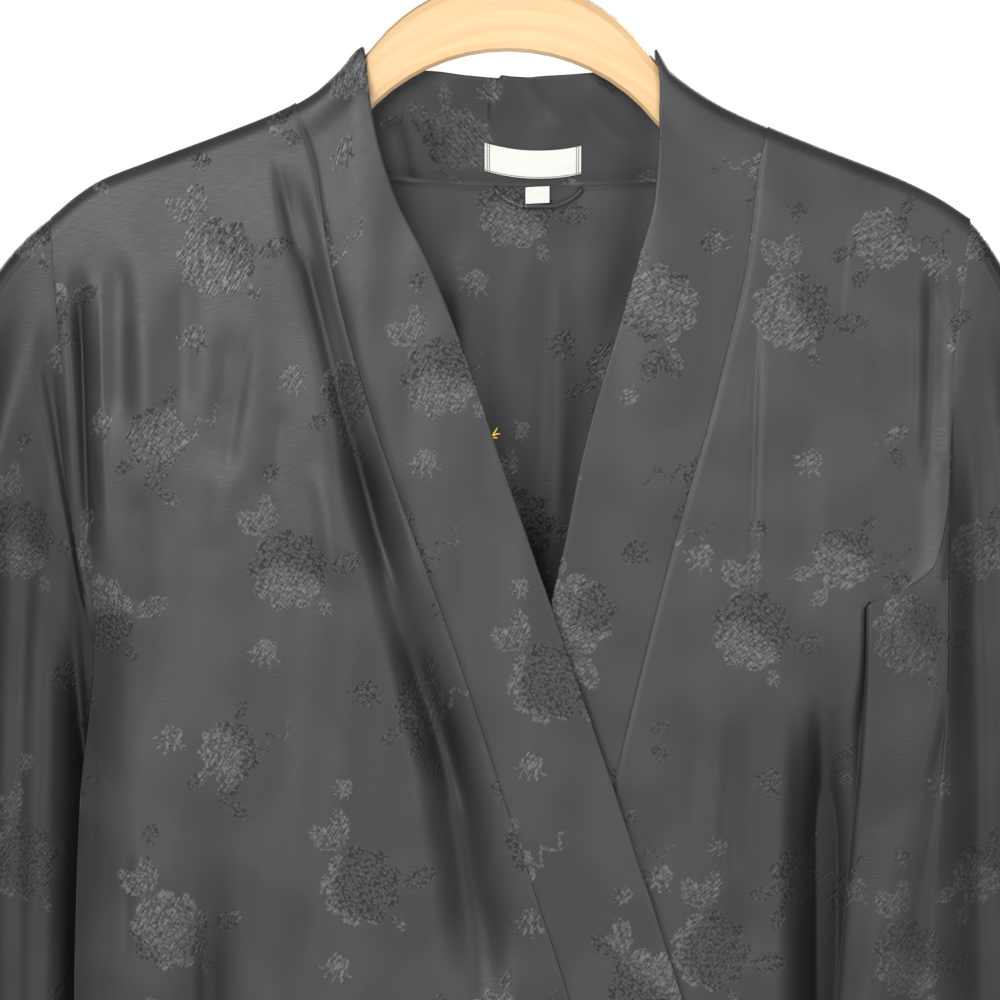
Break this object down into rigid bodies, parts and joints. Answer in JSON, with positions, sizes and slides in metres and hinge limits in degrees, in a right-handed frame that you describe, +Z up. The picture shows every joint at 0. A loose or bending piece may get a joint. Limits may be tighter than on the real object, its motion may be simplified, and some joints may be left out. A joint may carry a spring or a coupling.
{
  "type": "kimono robe on wooden hanger",
  "caption": "Black floral-jacquard kimono robe with a wrapped collar band and drop-shoulder sleeves, hanging flat on a plain wooden hanger.",
  "frame": {"origin": "the point under the hook's bow where the hanger rests on its rail", "axes": "+Z up, -Y the robe's front, +X to the viewer's right from the front"},
  "size_m": [0.6067, 0.0753, 1.3936],
  "materials": {
    "satin": "black satin with a tone-on-tone flower jacquard",
    "woven_white": "white woven label cloth",
    "wood": "pale lacquered wood",
    "steel": "bright plated wire"
  },
  "bodies": {
    "root": {"front_left": "satin", "front_right": "satin", "back": "satin", "sleeve_left": "satin", "sleeve_right": "satin", "collar_band": "satin", "neck_loop": "satin", "label": "woven_white", "size_tag": "woven_white", "hanger_bar": "wood", "hanger_hook": "steel"}
  },
  "joints": []
}
